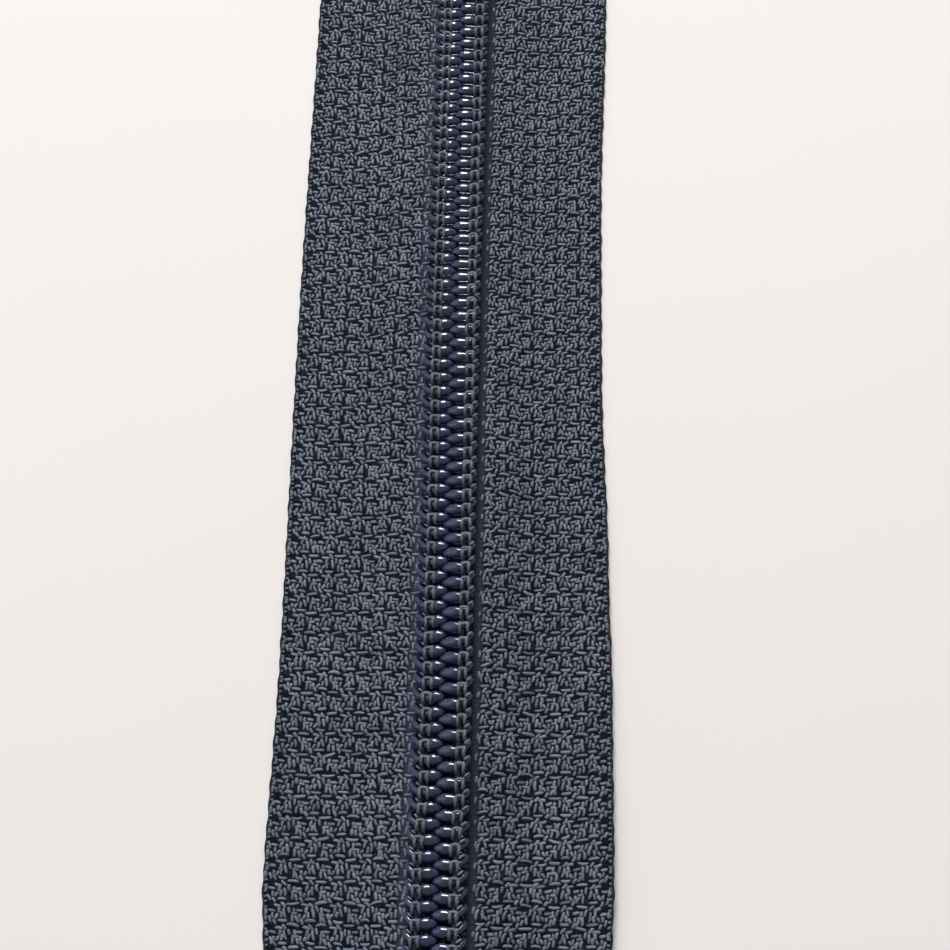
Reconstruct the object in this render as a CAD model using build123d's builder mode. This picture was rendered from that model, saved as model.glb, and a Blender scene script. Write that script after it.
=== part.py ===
"""Closed-end nylon coil zipper, gauge 5, 150 mm opening, on 32 mm woven polyester tape.

X runs across the zipper, Y along it towards the top end, and Z up on the coil side.  The zipper lies
closed on a table at Z = 0, with its slider at the top stops and its pull tab folded back on the chain.
The two stringers are alike: a point (across, along, height) of a stringer is measured outwards from
its own centre line, and SIDES turns it into the left or the right one.
"""
import os
from math import atan2, sin, sqrt

from build123d import *

# ---------------------------------------------------------------- driving dimensions (mm)
# whole zipper
tape_length = 190.0              # each tape, end to end
opening_length = 150.0           # outer edge of the bottom stop to the outer edge of the top stops

# tapes: a flat ledge under the coil, a shallow shoulder, and a flat band that lies on the table
tape_width = 15.9                # one tape, inner edge to selvedge
tape_thickness = 0.5
tape_gap = 0.2                   # between the inner edges of the closed tapes
shoulder_start = 4.8             # where the ledge ends, from the centre line
shoulder_run = 4.2               # width of the sloping shoulder
shoulder_radius = 5.0

# coils: flattened turns of one nylon filament
filament_diameter = 0.64
coil_pitch = 1.5                 # one turn, so closed heads alternate at half of this
coil_half_width = 3.0            # centre line to the outside of the heels
coil_height = 2.0                # over both layers of legs
head_reach = 0.45                # how far a head passes the centre line

# what sews a coil to its tape
filler_cord_diameter = 0.50
needle_thread_diameter = 0.26
inner_seam = 1.38                # the two needle seams, from the centre line
outer_seam = 2.08
looper_thread_diameter = 0.18

# slider
slider_length = 12.5
plate_thickness = 0.75           # lower plate
top_plate_thickness = 0.85
flange_wall = 0.70
mouth_spread = 1.60              # how far each stringer is moved aside at the mouth
throat_length = 2.4              # straight channel for the closed chain at the rear
lip_height = 0.30                # daylight between the flanges and the tape, for the cloth to pass
mouth_corner = 1.2               # rounding of the plates in plan, at the mouth
rear_corner = 0.6                # and at the rear
slider_edge = 0.25               # rounding of the plates' outer edges
wedge_round = 0.5                # rounding of the wedge's corners at the mouth

# crown: lugs on the slider body, a leaf spring with a lock tooth, and a cap over both
crown_length = 8.4
crown_width = 2.8
crown_wall = 0.40
lug_width = 1.8
lug_length = 1.7
spring_thickness = 0.25
spring_width = 1.4
tooth_thickness = 0.40
tooth_width = 1.1
tooth_round = 0.12               # rounding of the tooth's tip
spring_lift = 0.30               # free height over the spring for the lock tooth to rise
crown_round = 1.4                # of the cap's ends, seen from the side

# pull tab
tab_length = 24.0                # pivot to tip
tab_thickness = 1.20
tab_loop_half_width = 2.7        # over the two arms
tab_loop_round = 0.8             # inner corners between the arms
tab_taper_length = 5.0           # from the loop to the neck
tab_neck_half_width = 1.9
tab_end_half_width = 3.5
tab_end_length = 7.2             # straight sides of the wide end
tab_end_round = 2.8              # its corners
tab_hole_diameter = 3.2          # takes a cord or a ring
tab_hole_margin = 1.7            # metal between the hole and the tip
tab_edge = 0.25

# stops
stop_length = 4.0                # along the zipper, both kinds
top_stop_wall = 0.60
top_stop_depth = 2.6             # how far its jaws reach over the tape
top_stop_crown = 1.2             # thickness of its upper jaw
top_stop_round = 0.7             # rounding of the upper jaw
bottom_stop_wall = 0.55
bottom_stop_round = 0.5          # rounding of its shoulders
bottom_stop_tab = 2.2            # prongs folded under the tape

# clearances
thread_clearance = 0.03          # thread to filament and to tape
coil_clearance = 0.02            # coil to tape, lying on it
chain_clearance = 0.12           # chain to the slider's channel
cloth_clearance = 0.06           # stitched cloth to the slider's lower plate
stop_clearance = 0.06            # crimped stops to the cloth
stop_gap = 0.20                  # between slider and stops at either end of its travel
crown_clearance = 0.05           # between the parts in the crown
pivot_clearance = 0.15           # round the tab's pivot bar
window_clearance = 0.45          # between the lock tooth and a lug

# ---------------------------------------------------------------- levels and places that follow
tape_under = plate_thickness + cloth_clearance + looper_thread_diameter + thread_clearance
tape_top = tape_under + tape_thickness
coil_base = tape_top + coil_clearance
coil_top = coil_base + coil_height
coil_middle = (coil_base + coil_top) / 2

tape_end = tape_length / 2
stop_end = opening_length / 2
stop_start = stop_end - stop_length
slider_mouth = stop_start - stop_gap
slider_rear = slider_mouth - slider_length
spread_start = slider_rear + throat_length
spread_run = slider_mouth - spread_start

seam_top = coil_top + thread_clearance + needle_thread_diameter
needle_level = seam_top - needle_thread_diameter / 2
looper_level = tape_under - thread_clearance - looper_thread_diameter / 2
channel_top = seam_top + chain_clearance
plate_top = channel_top + top_plate_thickness
flange_bottom = tape_top + lip_height
rear_channel = coil_half_width + chain_clearance
mouth_channel = rear_channel + mouth_spread

pivot_y = (slider_rear + slider_mouth) / 2
tab_bottom = plate_top + crown_clearance
pivot_z = tab_bottom + tab_thickness / 2
lug_top = tab_bottom + tab_thickness + crown_clearance
spring_bottom = lug_top + crown_clearance
spring_top = spring_bottom + spring_thickness
crown_top = spring_top + spring_lift + crown_wall
crown_half = crown_length / 2
window_half = tab_thickness / 2 + tooth_thickness + window_clearance

SIDES = {"left": -1, "right": 1}


# ---------------------------------------------------------------- helpers
def save(part, name):
    """Give a finished piece its name and write it as a STEP file."""
    part.label = name
    export_step(part, f"parts/{name}.step")


def spread(along):
    """Sideways shift of a stringer at a place along the zipper: none on the closed chain, a reverse
    curve of two equal arcs inside the slider, and the full spread from the mouth to the top end."""
    half_turn = atan2(mouth_spread, spread_run)
    radius = spread_run / (2 * sin(2 * half_turn))
    gone = min(max(along - spread_start, 0.0), spread_run)
    if gone <= spread_run / 2:
        return radius - sqrt(radius**2 - gone**2)
    return mouth_spread - radius + sqrt(radius**2 - (spread_run - gone) ** 2)


def stringer_line(side, across, height, start, end):
    """The run of one stringer, at a distance outwards of its centre line: straight on the closed
    chain, the two arcs inside the slider, and straight again."""
    half_way = spread_start + spread_run / 2
    closed = Line((side * across, start, height), (side * across, spread_start, height))
    outwards = TangentArc(
        closed @ 1, (side * (across + mouth_spread / 2), half_way, height), tangent=(0, 1)
    )
    back = TangentArc(
        outwards @ 1, (side * (across + mouth_spread), slider_mouth, height), tangent=outwards % 1
    )
    Line(back @ 1, (side * (across + mouth_spread), end, height))


def plan_outline(rear, mouth, start, end):
    """Outline in plan of something that follows the stringers through the slider, with half widths of
    rear along the throat and mouth along a stretch as long at the mouth."""
    flare_end = slider_mouth - throat_length
    Polyline(
        (-rear, start), (rear, start), (rear, spread_start), (mouth, flare_end), (mouth, end),
        (-mouth, end), (-mouth, flare_end), (-rear, spread_start),
        close=True,
    )


os.makedirs("parts", exist_ok=True)

# ---------------------------------------------------------------- bottom stop (carries both stringers)
# A staple over both coils: its legs pierce the tapes and are folded inwards under them.
leg_inner = coil_half_width + stop_clearance
leg_outer = leg_inner + bottom_stop_wall
staple_floor = tape_under - looper_thread_diameter - thread_clearance - stop_clearance - bottom_stop_wall
staple_roof = seam_top + stop_clearance
stop_middle = -(stop_start + stop_end) / 2
with BuildPart() as bottom_stop:
    with BuildSketch(Plane.XZ.offset(stop_start)):
        with Locations((0, (staple_floor + staple_roof + bottom_stop_wall) / 2)):
            Rectangle(2 * leg_outer, staple_roof + bottom_stop_wall - staple_floor)
        with Locations((0, (staple_floor + bottom_stop_wall + staple_roof) / 2)):
            Rectangle(2 * leg_inner, staple_roof - staple_floor - bottom_stop_wall, mode=Mode.SUBTRACT)
        with Locations((0, staple_floor + bottom_stop_wall / 2)):
            Rectangle(2 * (leg_outer - bottom_stop_tab), bottom_stop_wall, mode=Mode.SUBTRACT)
    extrude(amount=stop_length)
    fillet(bottom_stop.edges().filter_by(Axis.Y).group_by(Axis.Z)[-1], bottom_stop_round)
save(bottom_stop.part, "bottom_stop")

# ---------------------------------------------------------------- the two stringers
first_turn = -int((stop_end - coil_pitch / 2) / coil_pitch)
last_turn = int((slider_mouth - filament_diameter) / coil_pitch)
thread_start = first_turn * coil_pitch - filament_diameter
thread_end = stop_start - stop_gap / 2

for name, side in SIDES.items():
    phase = 0.0 if side < 0 else 0.5      # the right coil's heads fall between the left coil's

    # woven tape: the ledge, shoulder and band keep their section and only shift sideways in the slider
    with BuildPart() as tape:
        with BuildSketch(Plane.XZ.offset(tape_end)) as tape_section:
            with BuildLine():
                inner = tape_gap / 2
                under = FilletPolyline(
                    (side * inner, tape_under),
                    (side * shoulder_start, tape_under),
                    (side * (shoulder_start + shoulder_run), 0),
                    (side * (inner + tape_width), 0),
                    radius=shoulder_radius,
                )
                over = FilletPolyline(
                    (side * inner, tape_top),
                    (side * shoulder_start, tape_top),
                    (side * (shoulder_start + shoulder_run), tape_thickness),
                    (side * (inner + tape_width), tape_thickness),
                    radius=shoulder_radius,
                )
                Line(under @ 0, over @ 0)
                Line(under @ 1, over @ 1)
            make_face()
        with BuildLine() as tape_path:
            stringer_line(side, 0, 0, -tape_end, tape_end)
        sweep(sections=tape_section.sketch, path=tape_path.wires()[0], normal=(0, 1, 0))
        with BuildSketch(Plane.XY):
            with Locations((side * (leg_inner + leg_outer) / 2, stop_middle)):
                Rectangle(bottom_stop_wall + 2 * stop_clearance, stop_length + 2 * stop_clearance)
        extrude(amount=coil_base, mode=Mode.SUBTRACT)
    save(tape.part, f"{name}_tape")

    # coil: a flattened ring for each turn, open inside for the filler cord
    ring_width = coil_half_width + head_reach
    ring_middle = (coil_half_width - head_reach) / 2
    places = [(turn + phase) * coil_pitch for turn in range(first_turn, last_turn)]
    turn_planes = [
        Plane(
            (side * (ring_middle + spread(along)), along + filament_diameter / 2, coil_middle),
            x_dir=(1, 0, 0), z_dir=(0, -1, 0),
        )
        for along in places
    ]
    with BuildPart() as coil:
        with BuildSketch(*turn_planes):
            SlotOverall(ring_width, coil_height)
            SlotOverall(
                ring_width - 2 * filament_diameter, coil_height - 2 * filament_diameter,
                mode=Mode.SUBTRACT,
            )
        extrude(amount=filament_diameter, clean=False)
    save(coil.part, f"{name}_coil")

    # threads and cord: the filler cord lies in the coil, the needle threads on it and the looper
    # threads under the tape, all along the same run
    threads = {
        "filler_cord": ((inner_seam + outer_seam) / 2, coil_middle, filler_cord_diameter),
        "inner_needle_thread": (inner_seam, needle_level, needle_thread_diameter),
        "outer_needle_thread": (outer_seam, needle_level, needle_thread_diameter),
        "inner_looper_thread": (inner_seam, looper_level, looper_thread_diameter),
        "outer_looper_thread": (outer_seam, looper_level, looper_thread_diameter),
    }
    for thread_name, (across, level, diameter) in threads.items():
        with BuildPart() as thread:
            with BuildLine() as run:
                stringer_line(side, across, level, thread_start, thread_end)
            with BuildSketch(Plane(origin=run.line @ 0, z_dir=(0, 1, 0))):
                Circle(diameter / 2)
            sweep(path=run.wires()[0])
        save(thread.part, f"{name}_{thread_name}")

    # top stop: a clip crimped over the inner edge of the tape
    slot_start = tape_gap / 2 - stop_clearance
    clip_start = slot_start - top_stop_wall
    clip_low = tape_under - stop_clearance - top_stop_wall
    clip_high = tape_top + stop_clearance + top_stop_crown
    clip_middle = side * (mouth_spread + (clip_start + top_stop_depth) / 2)
    slot_middle = side * (mouth_spread + (slot_start + tape_width) / 2)
    with BuildPart() as top_stop:
        with BuildSketch(Plane.XZ.offset(-stop_start)):
            with Locations((clip_middle, (clip_low + clip_high) / 2)):
                Rectangle(top_stop_depth - clip_start, clip_high - clip_low)
            with Locations((slot_middle, (tape_under + tape_top) / 2)):
                Rectangle(tape_width - slot_start, tape_thickness + 2 * stop_clearance,
                          mode=Mode.SUBTRACT)
        extrude(amount=-stop_length)
        fillet(top_stop.edges().filter_by(Axis.Y).group_by(Axis.Z)[-1], top_stop_round)
    save(top_stop.part, f"{name}_top_stop")

# ---------------------------------------------------------------- slider body
# Two plates joined at the mouth by the wedge that parts the stringers; flanges hang from the top plate
# along both sides and hold the coils in; two lugs on top carry the crown.
rear_half = rear_channel + flange_wall
mouth_half = mouth_channel + flange_wall
with BuildSketch() as slider_plan:
    with BuildLine():
        plan_outline(rear_half, mouth_half, slider_rear, slider_mouth)
    make_face()
    fillet(slider_plan.vertices().group_by(Axis.Y)[0], rear_corner)
    fillet(slider_plan.vertices().group_by(Axis.Y)[-1], mouth_corner)

wedge_free = head_reach + chain_clearance
wedge_half = mouth_spread - wedge_free
spread_radius = spread_run / (2 * sin(2 * atan2(mouth_spread, spread_run)))
wedge_tip = spread_start + sqrt(2 * spread_radius * wedge_free - wedge_free**2)
tooth_near = tab_thickness / 2 + pivot_clearance
tooth_y = pivot_y - tooth_near - tooth_thickness / 2
with BuildPart() as slider_body:
    for level, thickness in ((0, plate_thickness), (channel_top, top_plate_thickness)):
        with BuildSketch(Plane.XY.offset(level)):
            add(slider_plan.sketch)
        extrude(amount=thickness)
    outer_faces = slider_body.faces().filter_by(Axis.Z).sort_by(Axis.Z)
    fillet(outer_faces[0].edges() + outer_faces[-1].edges(), slider_edge)
    with BuildSketch(Plane.XY.offset(flange_bottom)):
        add(slider_plan.sketch)
        with BuildLine():
            plan_outline(rear_channel, mouth_channel, slider_rear - flange_wall, slider_mouth + flange_wall)
        make_face(mode=Mode.SUBTRACT)
    extrude(amount=channel_top - flange_bottom)
    with BuildSketch(Plane.XY.offset(plate_thickness)) as wedge:
        with BuildLine():
            Polyline(
                (0, wedge_tip), (wedge_half, slider_mouth - wedge_half), (wedge_half, slider_mouth),
                (-wedge_half, slider_mouth), (-wedge_half, slider_mouth - wedge_half),
                close=True,
            )
        make_face()
        fillet(wedge.vertices().group_by(Axis.Y)[-1], wedge_round)
    extrude(amount=channel_top - plate_thickness)
    with BuildSketch(Plane.XY.offset(plate_top)):
        for end in (-1, 1):
            with Locations((0, pivot_y + end * (window_half + lug_length / 2))):
                Rectangle(lug_width, lug_length)
    extrude(amount=lug_top - plate_top)
    with BuildSketch(Plane.XY.offset(channel_top)):
        with Locations((0, tooth_y)):
            Rectangle(tooth_width + 2 * pivot_clearance, tooth_thickness + 2 * pivot_clearance)
    extrude(amount=top_plate_thickness, mode=Mode.SUBTRACT)
save(slider_body.part, "slider_body")

# ---------------------------------------------------------------- lock spring
# A leaf on the two lugs, with a tooth that reaches through the top plate to the coils.
tooth_tip = coil_top + crown_clearance
spring_half = window_half + lug_length
with BuildPart() as lock_spring:
    with BuildSketch(Plane.XY.offset(spring_bottom)):
        with Locations((0, pivot_y)):
            Rectangle(spring_width, 2 * spring_half)
    extrude(amount=spring_thickness)
    with BuildSketch(Plane.XY.offset(tooth_tip)):
        with Locations((0, tooth_y)):
            Rectangle(tooth_width, tooth_thickness)
    extrude(amount=spring_bottom - tooth_tip)
    fillet(lock_spring.edges().filter_by(Axis.X).group_by(Axis.Z)[0], tooth_round)
save(lock_spring.part, "lock_spring")

# ---------------------------------------------------------------- crown cap
# A pressed cover over lugs and spring, with a window on each side for the pull tab's pivot bar.
with BuildPart() as crown_cap:
    with BuildSketch(Plane.XY.offset(plate_top)):
        with Locations((0, pivot_y)):
            Rectangle(crown_width, crown_length)
    extrude(amount=crown_top - plate_top)
    fillet(crown_cap.edges().filter_by(Axis.X).group_by(Axis.Z)[-1], crown_round)
    fillet(crown_cap.faces().filter_by(Axis.Z).sort_by(Axis.Z)[-1].edges().filter_by(Axis.Y), crown_wall)
    with BuildSketch(Plane.YZ):
        with Locations((pivot_y, (plate_top + crown_top - crown_wall) / 2)):
            cavity = Rectangle(crown_length - 2 * crown_wall, crown_top - crown_wall - plate_top)
        fillet(cavity.vertices().group_by(Axis.Y)[-1], crown_round - crown_wall)
    extrude(amount=crown_width / 2 - crown_wall, both=True, mode=Mode.SUBTRACT)
    with BuildSketch(Plane.YZ):
        with Locations((pivot_y, (plate_top + pivot_z) / 2 + tooth_near / 2)):
            Rectangle(2 * tooth_near, pivot_z - plate_top + tooth_near)
    extrude(amount=crown_width, both=True, mode=Mode.SUBTRACT)
save(crown_cap.part, "crown_cap")

# ---------------------------------------------------------------- pull tab
# Two arms and a round pivot bar through the crown, a narrow neck, and a wide end with a cord hole.
arm_inner = crown_width / 2 + pivot_clearance
loop_reach = sqrt(crown_half**2 + (crown_top - pivot_z) ** 2) + pivot_clearance
loop_end = pivot_y - loop_reach
neck_y = loop_end - tab_taper_length
tab_tip = pivot_y - tab_length
wide_start = tab_tip + tab_end_length
with BuildPart() as pull_tab:
    with BuildSketch(Plane.XY.offset(tab_bottom)) as tab_plan:
        with BuildLine():
            right_edge = Polyline(
                (0, pivot_y), (tab_loop_half_width, pivot_y), (tab_loop_half_width, loop_end),
                (tab_neck_half_width, neck_y), (tab_end_half_width, wide_start),
                (tab_end_half_width, tab_tip), (0, tab_tip),
            )
            mirror(right_edge, about=Plane.YZ)
        make_face()
        fillet(tab_plan.vertices().group_by(Axis.Y)[0], tab_end_round)
    extrude(amount=tab_thickness)
    fillet(pull_tab.faces().filter_by(Axis.Z).edges() - pull_tab.edges().group_by(Axis.Y)[-1], tab_edge)
    with BuildSketch(Plane.XY.offset(tab_bottom)) as loop:
        with Locations((0, pivot_y - loop_reach / 2)):
            Rectangle(2 * arm_inner, loop_reach)
        fillet(loop.vertices().group_by(Axis.Y)[0], tab_loop_round)
        with Locations((0, tab_tip + tab_hole_margin + tab_hole_diameter / 2)):
            Circle(tab_hole_diameter / 2)
    extrude(amount=tab_thickness, mode=Mode.SUBTRACT)
    with BuildSketch(Plane.YZ):
        with Locations((pivot_y, pivot_z)):
            Circle(tab_thickness / 2)
    extrude(amount=tab_loop_half_width, both=True)
save(pull_tab.part, "pull_tab")
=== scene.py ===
"""Dresses the closed-end nylon coil zipper: woven tapes, spiral coils, seams and enamelled hardware.

Lengths inside the shape functions are in millimetres in the model's own frame: X across the zipper,
Y along it towards the slider, Z up on the coil side.  A place on a stringer is given by its distance
across, outwards from the closing line, its distance along, and its height over the ledge of the tape.
"""
import math
from types import SimpleNamespace

import bpy
import numpy as np
from mathutils import Matrix, Vector


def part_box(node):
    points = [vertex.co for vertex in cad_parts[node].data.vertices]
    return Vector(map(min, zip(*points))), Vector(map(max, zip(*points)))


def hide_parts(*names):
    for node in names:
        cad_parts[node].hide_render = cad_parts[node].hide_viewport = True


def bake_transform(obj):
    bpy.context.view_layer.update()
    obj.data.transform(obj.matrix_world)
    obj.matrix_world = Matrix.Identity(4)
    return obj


bl_info = {
    "name": "Coil Zipper",
    "version": (1, 0, 0),
    "blender": (4, 5, 0),
    "location": "3D View > Sidebar > Zipper",
    "description": "Builds the cloth, coils, seams and finishes of a coil zipper round its solid parts",
    "category": "Add Mesh",
}

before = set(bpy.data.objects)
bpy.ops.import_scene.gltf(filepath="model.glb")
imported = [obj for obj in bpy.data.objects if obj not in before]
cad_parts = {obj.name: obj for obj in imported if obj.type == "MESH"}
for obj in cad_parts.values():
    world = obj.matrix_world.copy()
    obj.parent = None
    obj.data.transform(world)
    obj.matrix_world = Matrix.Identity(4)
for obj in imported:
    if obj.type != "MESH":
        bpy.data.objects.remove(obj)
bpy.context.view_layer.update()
MM = 0.001
SIDES = {"left": -1, "right": 1}
SIDE_NAMES = {side: name for name, side in SIDES.items()}


def solid_span(node):
    """Lowest and highest corner of a solid part, in millimetres."""
    low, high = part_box(node)
    return np.array(low) / MM, np.array(high) / MM


TAPE_LOW, TAPE_HIGH = solid_span("right_tape")
COIL_LOW, COIL_HIGH = solid_span("right_coil")
SLIDER_LOW, SLIDER_HIGH = solid_span("slider_body")
LOOPER_BOTTOM = solid_span("right_inner_looper_thread")[0][2]


# ------------ sizes and colours
def linear(hex_value):
    """An sRGB hex colour as linear red, green, blue and alpha."""
    parts = [int(hex_value[i:i + 2], 16) / 255 for i in (1, 3, 5)]
    return (*(p / 12.92 if p <= 0.04045 else ((p + 0.055) / 1.055) ** 2.4 for p in parts), 1.0)


def length_setting(name, description, millimetres):
    """A length that a user can change, held in metres."""
    return bpy.props.FloatProperty(
        name=name, description=description, default=millimetres * MM, unit="LENGTH", precision=6)


def angle_setting(name, description, degrees):
    """An angle that a user can change, held in radians."""
    return bpy.props.FloatProperty(
        name=name, description=description, default=math.radians(degrees), subtype="ANGLE")


def colour_setting(name, description, hex_value):
    """A colour that a user can change, given as an sRGB hex value and held as linear light."""
    return bpy.props.FloatVectorProperty(
        name=name, description=description, default=linear(hex_value), subtype="COLOR", size=4, min=0, max=1)


class ZipperTapeSettings(bpy.types.PropertyGroup):
    """Sizes of the woven tapes"""

    half_width: length_setting("Half width", "Closing line to selvedge on the closed chain", 16.0)
    gap: length_setting("Gap", "Closing line to the inner edge of a tape", 0.1)
    thickness: length_setting("Thickness", "Cloth with its floats", 0.5)
    ledge: length_setting("Ledge", "Half width of the raised ledge under the coils", 4.8)
    shoulder: length_setting("Shoulder", "Width of the slope from the ledge to the table", 4.2)
    warp_spacing: length_setting("Warp spacing", "Distance between warp ends", 0.63)
    pick_spacing: length_setting("Pick spacing", "Distance between picks", 0.5)
    yarn_width: length_setting("Yarn width", "Width of one float", 0.345)
    float_height: length_setting("Float height", "How far a float stands over the ground cloth", 0.11)


class ZipperCoilSettings(bpy.types.PropertyGroup):
    """Sizes of the coils"""

    pitch: length_setting("Pitch", "Length of one turn along the zipper", 1.5)
    filament: length_setting("Filament", "Diameter of the nylon filament", 0.62)
    half_width: length_setting("Half width", "Closing line to the outside of the heels", 3.0)
    head_reach: length_setting("Head reach", "How far a head passes the closing line", 0.45)
    sides: bpy.props.IntProperty(
        name="Sides", description="Corners of the mesh round the filament", default=10, min=3)


class ZipperSeamSettings(bpy.types.PropertyGroup):
    """Sizes of the seams that hold the coils"""

    inner: length_setting("Inner seam", "Closing line to the inner needle seam", 1.38)
    outer: length_setting("Outer seam", "Closing line to the outer needle seam", 2.08)
    thread: length_setting("Thread", "Diameter of the needle thread", 0.26)
    looper: length_setting("Looper thread", "Diameter of the looper thread under the tape", 0.18)


class ZipperFinishSettings(bpy.types.PropertyGroup):
    """Colours of the finishes"""

    yarn: colour_setting("Yarn", "Tape yarn at its darkest", "#4a525f")
    yarn_pale: colour_setting("Pale yarn", "Lightest floats of the tape", "#707988")
    # painted shade: the near-black gap colour stands for the shade deep between the floats, and the next
    # colour lightens that painted shade where the gaps count as less deep
    ground: colour_setting("Ground", "Cloth in the gaps between floats", "#090d18")
    ground_shallow_shade: colour_setting("Raised ground", "Cloth between floats where it lies less deep", "#202636")
    # painted shade of the coils: a mid colour, darker than the yarn, for the bare band beside the heels
    ground_heel_shade: colour_setting("Ground by the heels", "Bare cloth beside the coils", "#353b48")
    underside: colour_setting("Underside", "Close weave under the tape", "#4a515c")
    underside_dark: colour_setting("Dark underside", "Every other yarn under the tape", "#3f4651")
    catch_cord: colour_setting("Catch cord", "Cord that binds the selvedge", "#15171d")
    catch_cord_pale: colour_setting("Pale catch cord", "Lightest fibres of that cord", "#33373f")
    nylon: colour_setting("Nylon", "Coil filament", "#1a2546")
    nylon_pale: colour_setting("Pale nylon", "Where the filament took less dye", "#263259")
    thread: colour_setting("Thread", "Sewing thread at its palest", "#6f7783")
    thread_dark: colour_setting("Dark thread", "Sewing thread at its darkest", "#565d69")
    enamel: colour_setting("Enamel", "Slider, pull tab and stops", "#20243a")
    enamel_rubbed: colour_setting("Rubbed enamel", "Duller spots of the enamel", "#343a55")
    steel: colour_setting("Steel", "Lock spring", "#a7a7a4")


class ZipperStageSettings(bpy.types.PropertyGroup):
    """The table and the camera"""

    aim_across: length_setting("Aim across", "Where the camera looks, from the closing line", 2.5)
    aim_along: length_setting("Aim along", "Where the camera looks, from the middle of the zipper", -20.0)
    distance: length_setting("Distance", "Camera to the point it looks at", 170.3)
    azimuth: angle_setting("Azimuth", "How far round the camera stands, from the lower end to +X", 14.45)
    elevation: angle_setting("Elevation", "How far up from the table the camera stands", 69.73)
    roll: angle_setting("Roll", "Turn of the camera about its own line of sight", -14.02)
    lens: bpy.props.FloatProperty(
        name="Lens", description="Focal length on a sensor 36 mm wide", default=63.5, unit="CAMERA")
    paper: colour_setting("Paper", "Table top", "#f5f1ee")
    paper_shaded: colour_setting("Shaded paper", "Faint clouding of the table top", "#f1ece9")


def sizes(name):
    """A settings group's values, with its lengths in millimetres.  They are rounded clear of the error
    that metres bring, to the single precision that Blender's settings hold."""
    group = getattr(bpy.context.scene, "zipper_" + name)
    values = SimpleNamespace()
    for key, setting in group.bl_rna.properties.items():
        if key not in ("rna_type", "name"):
            value = getattr(group, key)
            if setting.unit == "LENGTH":
                value = float(np.float32(round(value / MM, 5)))
            setattr(values, key, value)
    return values


# ------------ how the zipper lies
# Each pair gives places along the zipper and the shifts there, in millimetres, or in degrees for the roll.
# The chain snakes a little and rolls on its soft tape, the outer bands lie askew of it, and the sewing lies
# a little towards +X of its seam lines.  All of that dies out before the slider and the bottom stop.  The
# right selvedge lifts off the table along its lower half, and that runs on past the stop.
CHAIN_LIE = ((-71, -40, 0, 40, 56), (0, 0.1, 0.0, 0.1, 0))
BAND_LIE = {
    "left": ((-71, -60, -40, 0, 40, 56), (0, -0.72, -0.50, -0.62, -0.52, 0)),
    "right": ((-71, -60, -43, -30, -10, 10, 36, 56), (0, 0.35, 0.20, -0.10, -0.62, -0.62, -0.10, 0)),
}
BAND_LIFT = {"left": ((-80, 80), (0, 0)), "right": ((-85, -62, -38, -15), (0, 0.75, 0.35, 0))}
ROLL_PLACES = (-58, -47, -36, -22, -5, 20, 44, 56)
CHAIN_ROLL = {
    "left": (ROLL_PLACES, (0, 11, 12, 9, 2, -5, -6, 0)),
    "right": (ROLL_PLACES, (0, 15, 16, 14, 6, -5, -6, 0)),
}
SEAM_LIE = ((-58, -53, 50, 56), (0, 0.3, 0.3, 0))

# A coil rolls as one block out to ROLL_REACH, and the tape takes the roll up over the next ROLL_FADE.
ROLL_REACH = 3.2
ROLL_FADE = 5.8

# The slider's channel is straight over this length at its rear, before it opens towards the mouth.
THROAT_LENGTH = 2.4


# ------------ shape functions
def ease(t):
    """Smooth step: 3t^2 - 2t^3 between 0 and 1."""
    t = np.clip(t, 0.0, 1.0)
    return t * t * (3 - 2 * t)


def spread(along):
    """Sideways shift of a stringer: none on the closed chain, then two equal arcs inside the slider, up
    to the full shift that the tape's outer edge shows past its closed half width."""
    full = TAPE_HIGH[0] - sizes("tape").half_width
    start, end = SLIDER_LOW[1] + THROAT_LENGTH, SLIDER_HIGH[1]
    run = end - start
    radius = run / (2 * math.sin(2 * math.atan2(full, run)))
    gone = np.clip(along - start, 0.0, run)
    near = radius - np.sqrt(radius**2 - np.minimum(gone, run / 2) ** 2)
    far = full - radius + np.sqrt(radius**2 - np.minimum(run - gone, run / 2) ** 2)
    return np.where(gone <= run / 2, near, far)


def tape_drop(across):
    """How far the tape lies below its ledge: a smooth step down over the shoulder."""
    tape = sizes("tape")
    rise = TAPE_HIGH[2] - tape.thickness
    return rise * ease((across - tape.ledge) / tape.shoulder)


def wander(along, places, shifts):
    """A smooth line through a few chosen shifts: between two places it eases from one to the next."""
    places, shifts = np.array(places, float), np.array(shifts, float)
    span = np.clip(np.searchsorted(places, along) - 1, 0, len(places) - 2)
    part = ease((along - places[span]) / (places[span + 1] - places[span]))
    return shifts[span] + part * (shifts[span + 1] - shifts[span])


def on_stringer(side, across, along, height):
    """Places of a stringer as points.  X is the side times across and spread, plus how the chain and the
    outer band lie.  Z is the ledge of the tape, less its drop at that distance across, plus the height,
    the lift of the outer band, and the roll: its tangent times a lever that grows with the distance
    across as far as the coil goes and eases out over the tape."""
    across, along, height = np.broadcast_arrays(across, along, height)
    tape = sizes("tape")
    name = SIDE_NAMES[side]
    outward = ease((across - tape.ledge / 2) / (tape.half_width - tape.ledge / 2))
    x = side * (across + spread(along)) + wander(along, *CHAIN_LIE)
    x = x + outward * wander(along, *BAND_LIE[name])
    lift = ease((across - tape.ledge - tape.shoulder) / (tape.half_width - tape.ledge - tape.shoulder))
    z = TAPE_HIGH[2] - tape_drop(across) + height + lift * wander(along, *BAND_LIFT[name])
    lever = np.minimum(across, ROLL_REACH) * (1 - ease((across - ROLL_REACH) / ROLL_FADE))
    z = z + side * lever * np.tan(np.radians(wander(along, *CHAIN_ROLL[name])))
    return np.stack([x, along, z], axis=-1)


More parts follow.
